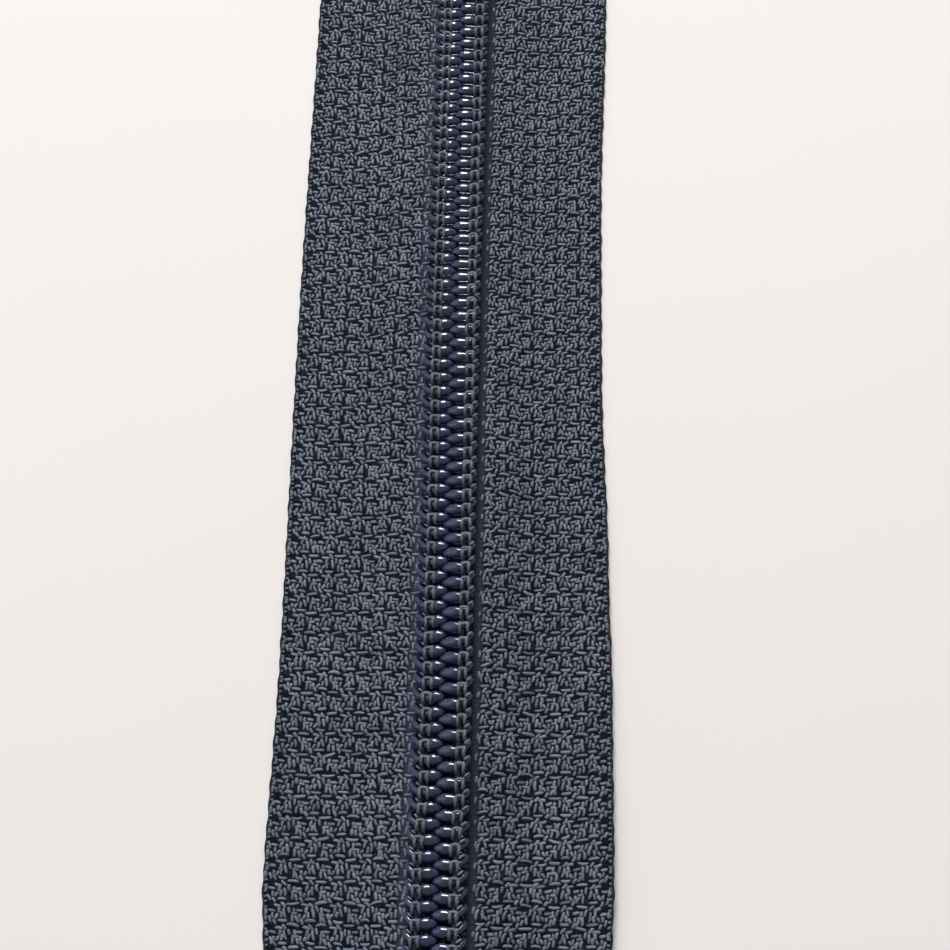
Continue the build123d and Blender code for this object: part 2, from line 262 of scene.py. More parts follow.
def smooth_loop(points, steps):
    """Points along Catmull-Rom curves: each span blends its four nearest control points with the usual
    cubic weights.  points is (strands, controls, 3)."""
    t = (np.arange(steps) / steps)[None, None, :, None]
    before, here = points[:, :-3, None], points[:, 1:-2, None]
    there, after = points[:, 2:-1, None], points[:, 3:, None]
    curve = 0.5 * (
        2 * here + (there - before) * t
        + (2 * before - 5 * here + 4 * there - after) * t**2
        + (3 * here - before - 3 * there + after) * t**3
    )
    strands = len(points)
    return np.concatenate([curve.reshape(strands, -1, 3), points[:, -2][:, None]], axis=1)


def tubes(paths, across_radius, height_radius, sides, reference):
    """Round or oval tubes along many paths at once.  Each ring is an ellipse in the plane across the
    path: one half axis lies along the reference direction made square to the path, and the other is
    square to both.  Rings are joined by quads, and each end is one flat polygon."""
    strands, rings = paths.shape[:2]
    ahead = np.gradient(paths, axis=1)
    ahead /= np.linalg.norm(ahead, axis=-1, keepdims=True)
    reference = np.asarray(reference, float)
    wide = reference - ahead * (ahead @ reference)[..., None]
    wide /= np.linalg.norm(wide, axis=-1, keepdims=True)
    high = np.cross(ahead, wide)
    angle = np.arange(sides) * 2 * math.pi / sides
    reach_wide = np.cos(angle) * np.broadcast_to(across_radius, (strands, rings))[..., None]
    reach_high = np.sin(angle) * np.broadcast_to(height_radius, (strands, rings))[..., None]
    wide_part = wide[:, :, None] * reach_wide[..., None]
    high_part = high[:, :, None] * reach_high[..., None]
    points = (paths[:, :, None] + wide_part + high_part).reshape(-1, 3)
    index = np.arange(strands * rings * sides).reshape(strands, rings, sides)
    turned = np.roll(index, -1, axis=2)
    quads = np.stack([index[:, :-1], turned[:, :-1], turned[:, 1:], index[:, 1:]], axis=-1).reshape(-1, 4)
    caps = np.concatenate([index[:, 0, ::-1], index[:, -1]])
    return points, [quads, caps]


def lenses(side, across, along, length, width, height, angle, bend, base):
    """Yarn floats: each is a closed lens, an ellipse in plan with blunt ends, domed above and flat below.
    Rings run along it, their half width follows (1 - s^6)^(1/2) from end to end, and the middle stands
    aside of the ends by bend (1 - s^2)."""
    ring = np.array([-0.92, -0.55, 0.0, 0.55, 0.92])
    rim = np.sqrt(1 - ring**6)
    turn = np.radians([0, 60, 120, 180])
    run = np.concatenate([np.repeat(ring, len(turn)), [-1.0, 1.0]])
    wide = np.concatenate([np.outer(rim, np.cos(turn)).ravel(), [0, 0]])
    tall = np.concatenate([np.outer(rim, np.sin(turn)).ravel(), [0, 0]])
    go = length[:, None] / 2 * run
    over = width[:, None] / 2 * wide + bend[:, None] * (1 - run**2)
    cosine, sine = np.cos(angle)[:, None], np.sin(angle)[:, None]
    points = on_stringer(
        side,
        across[:, None] + go * sine + over * cosine,
        along[:, None] + go * cosine - over * sine,
        base + height[:, None] * tall,
    ).reshape(-1, 3)
    count, around = len(run), len(turn)
    grid = np.arange(len(ring) * around).reshape(len(ring), around)
    turned = np.roll(grid, -1, axis=1)
    quads = np.stack([grid[:-1], grid[1:], turned[1:], turned[:-1]], axis=-1).reshape(-1, 4)
    first = np.stack([turned[0], np.full(around, count - 2), grid[0]], axis=-1)
    last = np.stack([grid[-1], np.full(around, count - 1), turned[-1]], axis=-1)
    shift = (np.arange(len(length)) * count)[:, None, None]
    faces = [(quads + shift).reshape(-1, 4), (np.concatenate([first, last]) + shift).reshape(-1, 3)]
    return points, [outward_faces(side, part) for part in faces], np.repeat(np.arange(len(length)), count)


def outward_faces(side, faces):
    """Faces as they are on the right, and with their corners in reverse on the mirrored left."""
    return faces[:, ::1 if side > 0 else -1]


def mesh_piece(name, points, faces, material, shade=None, uv=None, smooth=True):
    """One object at the origin from points in millimetres and arrays of faces with a like number of
    corners each, with an optional shade value for each point and a UV place for each point."""
    mesh = bpy.data.meshes.new(name)
    corners = np.concatenate([f.ravel() for f in faces]).astype(np.int32)
    counts = np.concatenate([np.full(len(f), f.shape[1]) for f in faces]).astype(np.int32)
    starts = np.concatenate([[0], np.cumsum(counts)[:-1]]).astype(np.int32)
    mesh.vertices.add(len(points))
    mesh.vertices.foreach_set("co", (np.asarray(points) * MM).astype(np.float32).ravel())
    mesh.loops.add(len(corners))
    mesh.loops.foreach_set("vertex_index", corners)
    mesh.polygons.add(len(counts))
    mesh.polygons.foreach_set("loop_start", starts)
    mesh.polygons.foreach_set("loop_total", counts)
    mesh.polygons.foreach_set("use_smooth", np.full(len(counts), smooth))
    if shade is not None:
        mesh.attributes.new("shade", "FLOAT", "POINT").data.foreach_set("value", shade.astype(np.float32))
    if uv is not None:
        layer = mesh.uv_layers.new(name="cloth")
        layer.data.foreach_set("uv", uv[corners].astype(np.float32).ravel())
    mesh.update(calc_edges=True)
    if mesh.validate():
        raise RuntimeError(f"{name} has faces that Blender can't use")
    piece = bpy.data.objects.new(name, mesh)
    bpy.context.scene.collection.objects.link(piece)
    mesh.materials.append(material)
    return piece


# ------------ materials
def grain(size):
    """Scale of a texture on object coordinates, which are metres, for a pattern that is so many
    millimetres coarse."""
    return 1 / (size * MM)


def add_node(material, kind, inputs=None, **settings):
    """A shader node with its settings, and its inputs set to values or linked from other nodes' outputs."""
    tree = material.node_tree
    node = tree.nodes.new("ShaderNode" + kind)
    for key, value in settings.items():
        setattr(node, key, value)
    for key, value in (inputs or {}).items():
        if isinstance(value, bpy.types.NodeSocket):
            tree.links.new(value, node.inputs[key])
        else:
            node.inputs[key].default_value = value
    return node


def new_material(name):
    """A node material that is still empty."""
    material = bpy.data.materials.new(name)
    material.use_nodes = True
    material.node_tree.nodes.clear()
    return material


def finish_material(material, shader):
    """The material, with a shader node as its surface."""
    add_node(material, "OutputMaterial", {"Surface": shader.outputs[0]})
    return material


def polyester_yarn(finish):
    """Textured polyester yarn, woven: matt, each float a little paler or darker than the next, with fine
    filaments that break up its light.  A real filament is 0.02 mm thick and its ripple is drawn at
    0.11 mm, the finest that shows."""
    material = new_material("woven_polyester_yarn")
    place = add_node(material, "TexCoord").outputs["Object"]
    shade = add_node(material, "Attribute", attribute_name="shade").outputs["Fac"]
    fibres = add_node(material, "TexNoise", {"Vector": place, "Scale": grain(0.1111), "Detail": 2.0})
    wear = add_node(material, "TexNoise", {"Vector": place, "Scale": grain(6.25), "Detail": 2.0})
    worn = add_node(material, "Math", {0: shade, 1: wear.outputs["Fac"]}, operation="ADD")
    level = add_node(material, "MapRange", {"Value": worn.outputs[0], "From Min": 0.35, "From Max": 1.45})
    colour = add_node(material, "Mix", {
        "Factor": level.outputs[0], 6: finish.yarn, 7: finish.yarn_pale}, data_type="RGBA")
    bump = add_node(material, "Bump", {
        "Height": fibres.outputs["Fac"], "Strength": 0.35, "Distance": 0.04 * MM})
    shader = add_node(material, "BsdfPrincipled", {
        "Base Color": colour.outputs[2], "Normal": bump.outputs[0], "Roughness": 0.5,
        "Specular IOR Level": 0.4})
    return finish_material(material, shader)


def ground_cloth(finish):
    """The polyester cloth under the floats.  On top its colour is painted shade: near black in the gaps
    between floats, lighter where noise makes them count as less deep, and a mid colour in the bare band by
    the heels for the shade of the coils there.  Below it is a plain close weave of picks and warps at their
    real spacing.
    Its UV map is in millimetres, across and along."""
    tape, coil = sizes("tape"), sizes("coil")
    material = new_material("woven_polyester_ground")
    place = add_node(material, "UVMap", uv_map="cloth").outputs[0]
    scaled = add_node(material, "Mapping", {
        "Vector": place, "Scale": (1 / tape.warp_spacing, 1 / tape.pick_spacing, 1.0)})
    checks = add_node(material, "TexBrick", {
        "Vector": scaled.outputs[0], "Color1": finish.underside, "Color2": finish.underside_dark,
        "Mortar": finish.ground, "Scale": 1.0, "Mortar Size": 0.12, "Mortar Smooth": 0.6,
        "Brick Width": 2.0, "Row Height": 1.0}, offset=0.5)
    facing = add_node(material, "NewGeometry").outputs["Normal"]
    up = add_node(material, "SeparateXYZ", {"Vector": facing})
    under = add_node(material, "Math", {0: up.outputs["Z"], 1: -0.2}, operation="LESS_THAN")
    # painted shade in the gaps: noise mixes the near-black gap colour towards a lighter one where the gaps
    # count as less deep
    gap_shade_noise = add_node(material, "TexNoise", {"Vector": place, "Scale": 1 / 0.4167, "Detail": 2.0})
    depth = add_node(material, "MapRange", {
        "Value": gap_shade_noise.outputs["Fac"], "From Min": 0.45, "From Max": 0.7})
    gaps = add_node(material, "Mix", {
        "Factor": depth.outputs[0], 6: finish.ground, 7: finish.ground_shallow_shade}, data_type="RGBA")
    # painted shade of the coils: the band just beside the heels takes a mid colour in place of the near-black
    # gaps
    inward = add_node(material, "SeparateXYZ", {"Vector": place})
    heel_shade_band = add_node(material, "MapRange", {
        "Value": inward.outputs["X"], "From Min": coil.half_width + 0.3, "From Max": coil.half_width + 0.9,
        "To Min": 1.0, "To Max": 0.0})
    top = add_node(material, "Mix", {
        "Factor": heel_shade_band.outputs[0], 6: gaps.outputs[2], 7: finish.ground_heel_shade}, data_type="RGBA")
    colour = add_node(material, "Mix", {
        "Factor": under.outputs[0], 6: top.outputs[2], 7: checks.outputs["Color"]}, data_type="RGBA")
    bump = add_node(material, "Bump", {
        "Height": checks.outputs["Fac"], "Strength": 0.6, "Distance": 0.1 * MM}, invert=True)
    shader = add_node(material, "BsdfPrincipled", {
        "Base Color": colour.outputs[2], "Normal": bump.outputs[0], "Roughness": 0.85,
        "Specular IOR Level": 0.12})
    return finish_material(material, shader)


def binding_cord(finish):
    """The tape's catch cord: dark dyed polyester, matt, with fibres that show as a fine mottle."""
    material = new_material("polyester_catch_cord")
    place = add_node(material, "TexCoord").outputs["Object"]
    fibres = add_node(material, "TexNoise", {"Vector": place, "Scale": grain(0.2), "Detail": 2.0})
    colour = add_node(material, "Mix", {
        "Factor": fibres.outputs["Fac"], 6: finish.catch_cord, 7: finish.catch_cord_pale}, data_type="RGBA")
    shader = add_node(material, "BsdfPrincipled", {
        "Base Color": colour.outputs[2], "Roughness": 0.8, "Specular IOR Level": 0.15})
    return finish_material(material, shader)


def nylon_filament(finish):
    """Drawn nylon 6 monofilament, dyed through and finished with silicone.  The nylon lets light in a
    millimetre deep, which lifts its dark side.  The thin slick finish over it gives small sharp
    highlights, and faint draw lines and uneven dye keep it from looking moulded."""
    material = new_material("dyed_nylon_monofilament")
    place = add_node(material, "TexCoord").outputs["Object"]
    dye = add_node(material, "TexNoise", {"Vector": place, "Scale": grain(1.111), "Detail": 3.0})
    colour = add_node(material, "Mix", {
        "Factor": dye.outputs["Fac"], 6: finish.nylon, 7: finish.nylon_pale}, data_type="RGBA")
    rough = add_node(material, "MapRange", {"Value": dye.outputs["Fac"], "To Min": 0.28, "To Max": 0.38})
    lines = add_node(material, "TexNoise", {"Vector": place, "Scale": grain(0.1667), "Detail": 1.0})
    bump = add_node(material, "Bump", {
        "Height": lines.outputs["Fac"], "Strength": 0.12, "Distance": 0.02 * MM})
    shader = add_node(material, "BsdfPrincipled", {
        "Base Color": colour.outputs[2], "Normal": bump.outputs[0],
        "Roughness": rough.outputs[0], "IOR": 1.53, "Specular IOR Level": 0.15, "Subsurface Weight": 1.0,
        "Subsurface Radius": (1.0, 1.0, 1.0), "Subsurface Scale": 1.0 * MM,
        "Coat Weight": 1.0, "Coat Roughness": 0.10, "Coat IOR": 1.72})
    return finish_material(material, shader)


def sewing_thread(finish):
    """Polyester sewing thread: a soft twisted multifilament, paler than the nylon it holds down.  Its
    twist repeats every 0.24 mm, and a wave texture has ten radians to each unit of its scale."""
    material = new_material("polyester_sewing_thread")
    place = add_node(material, "TexCoord").outputs["Object"]
    shade = add_node(material, "Attribute", attribute_name="shade").outputs["Fac"]
    twist = add_node(material, "TexWave", {
        "Vector": place, "Scale": grain(0.24166) * 2 * math.pi / 10, "Distortion": 3.0},
        bands_direction="DIAGONAL")
    colour = add_node(material, "Mix", {
        "Factor": shade, 6: finish.thread_dark, 7: finish.thread}, data_type="RGBA")
    bump = add_node(material, "Bump", {
        "Height": twist.outputs["Fac"], "Strength": 0.4, "Distance": 0.04 * MM})
    shader = add_node(material, "BsdfPrincipled", {
        "Base Color": colour.outputs[2], "Normal": bump.outputs[0], "Roughness": 0.6,
        "Specular IOR Level": 0.3})
    return finish_material(material, shader)


def stove_enamel(finish):
    """Stove enamel on die-cast zinc: an even dark coat with a faint orange peel and duller rubbed spots."""
    material = new_material("stove_enamelled_zinc")
    place = add_node(material, "TexCoord").outputs["Object"]
    rubbed = add_node(material, "TexNoise", {"Vector": place, "Scale": grain(2.857), "Detail": 4.0})
    peel = add_node(material, "TexNoise", {"Vector": place, "Scale": grain(0.4545), "Detail": 1.0})
    colour = add_node(material, "Mix", {
        "Factor": rubbed.outputs["Fac"], 6: finish.enamel, 7: finish.enamel_rubbed}, data_type="RGBA")
    rough = add_node(material, "MapRange", {
        "Value": rubbed.outputs["Fac"], "To Min": 0.28, "To Max": 0.5})
    bump = add_node(material, "Bump", {
        "Height": peel.outputs["Fac"], "Strength": 0.15, "Distance": 0.03 * MM})
    shader = add_node(material, "BsdfPrincipled", {
        "Base Color": colour.outputs[2], "Normal": bump.outputs[0], "Roughness": rough.outputs[0],
        "Coat Weight": 0.5, "Coat Roughness": 0.2})
    return finish_material(material, shader)


def spring_steel(finish):
    """Rolled spring strip: bare steel whose rolling lines, fine across and long along it, dull its shine
    in streaks."""
    material = new_material("rolled_spring_steel")
    place = add_node(material, "TexCoord").outputs["Object"]
    streaks = add_node(material, "Mapping", {
        "Vector": place, "Scale": (grain(0.1111), grain(3.333), grain(0.1111))})
    lines = add_node(material, "TexNoise", {"Vector": streaks.outputs[0], "Scale": 1.0})
    rough = add_node(material, "MapRange", {
        "Value": lines.outputs["Fac"], "To Min": 0.25, "To Max": 0.45})
    shader = add_node(material, "BsdfPrincipled", {
        "Base Color": finish.steel, "Metallic": 1.0, "Roughness": rough.outputs[0]})
    return finish_material(material, shader)


def matt_paper(stage):
    """Uncoated paper on the table: matt, off-white, with a faint clouding a hand's breadth wide."""
    material = new_material("matt_paper")
    place = add_node(material, "TexCoord").outputs["Object"]
    clouds = add_node(material, "TexNoise", {"Vector": place, "Scale": grain(71.43), "Detail": 2.0})
    colour = add_node(material, "Mix", {
        "Factor": clouds.outputs["Fac"], 6: stage.paper, 7: stage.paper_shaded}, data_type="RGBA")
    shader = add_node(material, "BsdfPrincipled", {
        "Base Color": colour.outputs[2], "Roughness": 0.9, "Specular IOR Level": 0.1})
    return finish_material(material, shader)


MAKERS = {
    "yarn": polyester_yarn, "ground": ground_cloth, "catch_cord": binding_cord, "nylon": nylon_filament,
    "thread": sewing_thread, "enamel": stove_enamel, "steel": spring_steel,
}
MADE = {}


def finish_of(kind):
    """The scene's one material of that kind, made when it is first asked for."""
    if kind not in MADE:
        MADE[kind] = MAKERS[kind](bpy.context.scene.zipper_finish)
    return MADE[kind]


def stringer_piece(side_name, part, points, faces, kind, slot, nodes=(), **looks):
    """A soft piece in its finish, with its place baked into its mesh.  The solid parts of that side
    that it stands for are hidden."""
    piece = mesh_piece(f"{side_name}_{part}", points, faces, finish_of(kind), **looks)
    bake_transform(piece)
    if nodes:
        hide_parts(*[f"{side_name}_{node}" for node in nodes])
    return piece


# ------------ tapes
# The ground cloth and the floats end this far inside the half width, where the selvedge loops sit.
EDGE_INSET = 0.1

# Floats in one repeat of the crepe weave, four warps wide and four picks high: place of the middle in warps
# and in picks, length in millimetres, and slant in degrees away from the float's own direction.
REPEAT = 4
WARP_FLOATS = (
    (2.00, 2.95, 0.90, 12), (2.86, 3.48, 0.60, -12), (3.82, 2.42, 0.50, 0), (0.95, 2.05, 0.72, 0),
    (0.74, 3.35, 0.60, 6), (3.22, 2.30, 0.52, -35), (3.62, 1.32, 0.58, 32),
)
WEFT_FLOATS = (
    (0.84, 0.72, 1.08, -3), (2.40, 1.50, 0.92, 4), (3.95, 3.48, 0.66, 8), (3.00, 0.28, 0.74, 14),
    (0.62, 2.82, 0.62, 0),
)
BINDER_FLOATS = (
    (1.42, 3.60, 0.66, 12), (2.20, 0.42, 0.66, 40), (0.30, 1.80, 0.66, 20), (2.57, 2.56, 0.62, -10),
)

# A band along the coils has no floats, so that the dark ground shows there as painted shade of the coils.  It
# reaches from the first distance below, inside the outer face of the heels, to the second, outside it, and it
# reaches further out on the right, where the shade is wider.
SHADED_BAND_UNDER = 0.4
SHADED_BAND_BESIDE = {"left": -0.1, "right": 0.24}


def ground_sheet(side):
    """Ground cloth of one tape: a grid over the width and length, once at the top and once underneath,
    closed round its edges."""
    tape = sizes("tape")
    columns, rows = 41, 401
    across = np.linspace(tape.gap, tape.half_width - EDGE_INSET, columns)
    along = np.linspace(TAPE_LOW[1], TAPE_HIGH[1], rows)
    grid_across, grid_along = np.meshgrid(across, along, indexing="ij")
    top = on_stringer(side, grid_across, grid_along, -tape.float_height)
    under = on_stringer(side, grid_across, grid_along, -tape.thickness)
    points = np.concatenate([top.reshape(-1, 3), under.reshape(-1, 3)])
    index = np.arange(columns * rows).reshape(columns, rows)
    below = index + index.size
    upper = np.stack([index[:-1, :-1], index[1:, :-1], index[1:, 1:], index[:-1, 1:]], axis=-1)
    lower = np.stack([below[:-1, :-1], below[:-1, 1:], below[1:, 1:], below[1:, :-1]], axis=-1)
    rim = np.concatenate([index[:, 0], index[-1, 1:], index[-2::-1, -1], index[0, -2:0:-1]])
    after = np.roll(rim, -1)
    edge = np.stack([rim, rim + index.size, after + index.size, after], axis=-1)
    faces = np.concatenate([upper.reshape(-1, 4), lower.reshape(-1, 4), edge])
    uv = np.tile(np.stack([grid_across, grid_along], axis=-1).reshape(-1, 2), (2, 1))
    return points, [outward_faces(side, faces)], uv


def weave(side, floats, across_axis, seed):
    """All floats of one kind on a tape: the repeat's floats in every repeat, mirrored on the left tape,
    each a little out of place, length, slant and line.  Those that would pass an edge of the tape, or lie
    in the band by the heels where the ground is left bare as painted shade of the coils, are left out."""
    tape, coil = sizes("tape"), sizes("coil")
    random = np.random.default_rng(seed)
    # how far a place in millimetres, a slant in degrees and a bend over the length stray
    place_error, slant_error, bend_error = 0.03, 6, 0.07
    columns = int(tape.half_width / tape.warp_spacing / REPEAT) + 2
    rows = int((TAPE_HIGH[1] - TAPE_LOW[1]) / tape.pick_spacing / REPEAT) + 2
    column, row, kind = np.meshgrid(np.arange(-1, columns), np.arange(-1, rows), np.arange(len(floats)),
                                    indexing="ij")
    place = np.array(floats)[kind.ravel()]
    across = (column.ravel() * REPEAT + place[:, 0]) * tape.warp_spacing
    along = TAPE_LOW[1] + (row.ravel() * REPEAT + place[:, 1]) * tape.pick_spacing
    count = len(across)
    across = across + random.normal(0, place_error, count)
    along = along + random.normal(0, place_error, count)
    length = place[:, 2] * random.uniform(0.92, 1.18, count)
    lean = (-1 if across_axis else 1) * (place[:, 3] + random.normal(0, slant_error, count))
    slant = np.radians(lean) + (math.pi / 2 if across_axis else 0)
    reach = length / 2 * np.abs(np.sin(slant)) + tape.yarn_width / 2
    ends = length / 2 * np.abs(np.cos(slant)) + tape.yarn_width / 2
    inside = (across - reach > tape.gap) & (across + reach < tape.half_width - EDGE_INSET)
    inside &= (along - ends > TAPE_LOW[1]) & (along + ends < TAPE_HIGH[1])
    # floats are left out of the band by the heels, so that its ground shows there as painted shade of the
    # coils
    bare = (across > coil.half_width - SHADED_BAND_UNDER)
    bare &= (across < coil.half_width + SHADED_BAND_BESIDE[SIDE_NAMES[side]])
    bare &= (along > COIL_LOW[1]) & (along < COIL_HIGH[1])
    keep = inside & ~bare
    number = keep.sum()
    shade = random.uniform(0, 1, number)
    width = tape.yarn_width * random.uniform(0.85, 1.15, number)
    height = tape.float_height * random.uniform(0.8, 1.1, number)
    bend = random.normal(0, bend_error, number) * length[keep]
    points, faces, owner = lenses(side, across[keep], along[keep], length[keep], width, height,
                                  slant[keep], bend, -tape.float_height)
    return points, faces, shade[owner]


def selvedge(side, seed):
    """Loops of the picks round the outer warp: one small lens across the edge for each pick, darker than
    most floats."""
    tape = sizes("tape")
    random = np.random.default_rng(seed)
    inset, loop_height = 0.34, 0.12
    along = np.arange(TAPE_LOW[1] + tape.pick_spacing, TAPE_HIGH[1], tape.pick_spacing)
    along = along + random.normal(0, 0.03, len(along))
    count = len(along)
    across = np.full(count, tape.half_width - inset)
    length = random.uniform(0.30, 0.42, count)
    width = random.uniform(0.24, 0.32, count)
    height = np.full(count, loop_height)
    slant = np.radians(random.normal(90, 20, count))
    points, faces, owner = lenses(side, across, along, length, width, height, slant, np.zeros(count),
                                  -tape.float_height)
    return points, faces, 0.5 * random.uniform(0, 1, count)[owner]


def catch_cord(side):
    """The dark cord that binds the selvedge: an oval tube just inside the edge, waving by a hair as the
    four picks of each repeat pull it in and let it out."""
    tape = sizes("tape")
    inset, half_across, half_high, corners = 0.16, 0.17, 0.2, 8
    along = np.arange(TAPE_LOW[1] + 0.05, TAPE_HIGH[1], tape.pick_spacing / 2)
    wave = 0.05 * np.sin(along * 2 * math.pi / (REPEAT * tape.pick_spacing)) + 0.03 * np.sin(along * 1.3)
    path = on_stringer(side, tape.half_width - inset + wave, along, -tape.thickness / 2 - 0.02)[None]
    return tubes(path, half_across, half_high, corners, (1, 0, 0))


class ZIPPER_OT_tapes(bpy.types.Operator):
    """Weave both tapes: ground cloth, warp, weft and binder floats, selvedge loops and catch cord"""

    bl_idname = "zipper.tapes"
    bl_label = "Weave Tapes"

    def execute(self, context):
        tape = sizes("tape")
        drafts = (("warp", WARP_FLOATS, False), ("weft", WEFT_FLOATS, True), ("binder", BINDER_FLOATS, False))
        for tape_seed, (name, side) in enumerate(SIDES.items()):
            points, faces, uv = ground_sheet(side)
            ground = stringer_piece(name, "tape_ground", points, faces, "ground", "tape", ["tape"], uv=uv,
                                    smooth=False)
            yarns = {part: weave(side, draft, across_axis, 10 * tape_seed + draft_seed)
                     for draft_seed, (part, draft, across_axis) in enumerate(drafts)}
            yarns["selvedge"] = selvedge(side, 10 * tape_seed + 5)
            on_ground = [stringer_piece(name, f"tape_{part}", points, faces, "yarn", "tape", shade=shade)
                         for part, (points, faces, shade) in yarns.items()]
            on_ground.append(stringer_piece(name, "tape_catch_cord", *catch_cord(side), "catch_cord", "tape"))
        return {"FINISHED"}


# ------------ coils
# The right coil lies half a turn further along, so that its heads fall between the left one's.
PHASE = {-1: 0.0, 1: 0.5}


def turn_numbers():
    """First and last turn of a coil, from the solid coil's length."""
    pitch = sizes("coil").pitch
    return round(COIL_LOW[1] / pitch - 0.5), round(COIL_HIGH[1] / pitch - 0.5)


def coil_path(side):
    """Middle line of one coil, on its stringer and as points.  In each turn the filament rises at the
    head, runs outwards over the seams, bends down at the heel while it gains most of the pitch, and comes
    back underneath."""
    coil = sizes("coil")
    radius = coil.filament / 2
    low = COIL_LOW[2] - TAPE_HIGH[2] + radius
    high = COIL_HIGH[2] - TAPE_HIGH[2] - radius
    head, heel = radius - coil.head_reach, coil.half_width - radius
    middle, half = (low + high) / 2, (high - low) / 2
    # one turn: distance across, share of the pitch gained, height over the ledge
    turn = np.array([
        (head, 0.00, middle),
        (head + 0.14, 0.00, middle + 0.70 * half),
        (head + 0.42, 0.00, high - 0.07),
        (head + 0.86, 0.00, high),
        (1.30, 0.00, high - 0.06),
        (2.08, 0.06, high - 0.20),
        (heel - 0.14, 0.34, high - 0.44),
        (heel, 0.50, middle),
        (heel - 0.14, 0.66, low + 0.16),
        (1.90, 0.86, low),
        (head + 0.48, 0.99, low),
        (head + 0.16, 1.00, middle - 0.72 * half),
    ])
    first, last = turn_numbers()
    number = np.arange(first, last)[:, None]
    across = np.tile(turn[:, 0], (last - first, 1))
    along = (number + PHASE[side] + turn[:, 1]) * coil.pitch
    height = np.tile(turn[:, 2], (last - first, 1))
    line = np.stack([across.ravel(), along.ravel(), height.ravel()], axis=-1)[None]
    line = smooth_loop(line, 3)[0]
    return line, on_stringer(side, line[:, 0], line[:, 1], line[:, 2])


def filament_section(across):
    """Half width and half height of the filament at a distance across.  It is round underneath and at the
    heel, pressed flatter towards the head, and swells to the crown that meshes with the other coil."""
    radius = sizes("coil").filament / 2
    crown = ease((across - 0.1) / 0.5) * (1 - ease((across - 1.2) / 0.6))
    near_head = 1 - ease((across - 0.1) / 1.3)
    return radius * (1 + 0.22 * near_head + 0.6 * crown), radius * (1 - 0.12 * near_head)


def cord_strands(side):
    """The filler cord's three strands, as helices of equal radius and lay round a line midway between the
    seams and halfway up the coil."""
    seam = sizes("seam")
    radius, lay, strands, strand_radius, corners = 0.11, 2.2, 3, 0.13, 6
    along = np.arange(COIL_LOW[1] - 1, COIL_HIGH[1] + 0.5, 0.5)
    height = (COIL_LOW[2] + COIL_HIGH[2]) / 2 - TAPE_HIGH[2]
    paths = []
    for strand in range(strands):
        turn = along * 2 * math.pi / lay + strand * 2 * math.pi / strands
        across = (seam.inner + seam.outer) / 2 + radius * np.cos(turn)
        paths.append(on_stringer(side, across, along, height + radius * np.sin(turn)))
    return tubes(np.array(paths), strand_radius, strand_radius, corners, (1, 0.2, 0.1))


class ZIPPER_OT_coils(bpy.types.Operator):
    """Wind both coils and lay the filler cords in them"""

    bl_idname = "zipper.coils"
    bl_label = "Wind Coils"

    def execute(self, context):
        for name, side in SIDES.items():
            line, path = coil_path(side)
            wide, tall = filament_section(line[:, 0])
            points, faces = tubes(path[None], wide[None], tall[None], sizes("coil").sides, (0, 1, 0))
            stringer_piece(name, "coil_filament", points, faces, "nylon", "filament", ["coil"])
            points, faces = cord_strands(side)
            stringer_piece(name, "cord_strands", points, faces, "thread", "cord", ["filler_cord"],
                           shade=np.full(len(points), 0.2))
        return {"FINISHED"}


# ------------ seams
# How deep each side's ties sink, and their thickness as a share of the thread's: the left ones are pulled
# deeper and thinner.
TIES = {-1: (0.2, 0.6), 1: (0.0, 0.85)}


def stitch_shapes(side):
    """Control points of one stitch of each kind, as distance across, share of the pitch along, and height,
    with the thickness of its thread as a share of the full one.  Over every leg of the coil two short
    strands run along the seams, a bar crosses them at the far end, and a slanting tie goes out to the
    heel."""
    coil, seam = sizes("coil"), sizes("seam")
    leg = COIL_HIGH[2] - TAPE_HIGH[2] - coil.filament / 2
    top = leg + coil.filament / 2 + seam.thread / 2 - 0.08
    run = (
        (0.22, top - 0.32), (0.17, top - 0.12), (0.09, top - 0.02), (-0.05, top), (-0.20, top - 0.06),
        (-0.34, leg + 0.12), (-0.45, leg - 0.25), (-0.48, leg - 0.55),
    )
    bar = np.array([
        (seam.inner - 0.03, -0.06, top - 0.16),
        (seam.inner - 0.02, 0.03, top - 0.04),
        (seam.inner + 0.06, 0.12, top + 0.02),
        ((seam.inner + seam.outer) / 2, 0.16, top + 0.01),
        (seam.outer - 0.06, 0.12, top + 0.02),
        (seam.outer + 0.02, 0.03, top - 0.04),
        (seam.outer + 0.03, -0.06, top - 0.16),
    ])
    tie = np.array([
        (seam.outer - 0.02, -0.72, leg - 0.35),
        (seam.outer + 0.04, -0.64, leg + 0.02),
        (seam.outer + 0.16, -0.56, leg + 0.14),
        (seam.outer + 0.30, -0.47, leg + 0.08),
        (seam.outer + 0.42, -0.39, leg - 0.14),
        (seam.outer + 0.50, -0.33, leg - 0.50),
    ])
    sink, tie_weight = TIES[side]
    tie[:, 2] -= sink
    return {
        "inner_stitches": (np.array([(seam.inner, *point) for point in run]), 1.0),
        "outer_stitches": (np.array([(seam.outer, *point) for point in run]), 1.0),
        "stitch_bars": (bar, 0.92),
        "stitch_ties": (tie, tie_weight),
    }


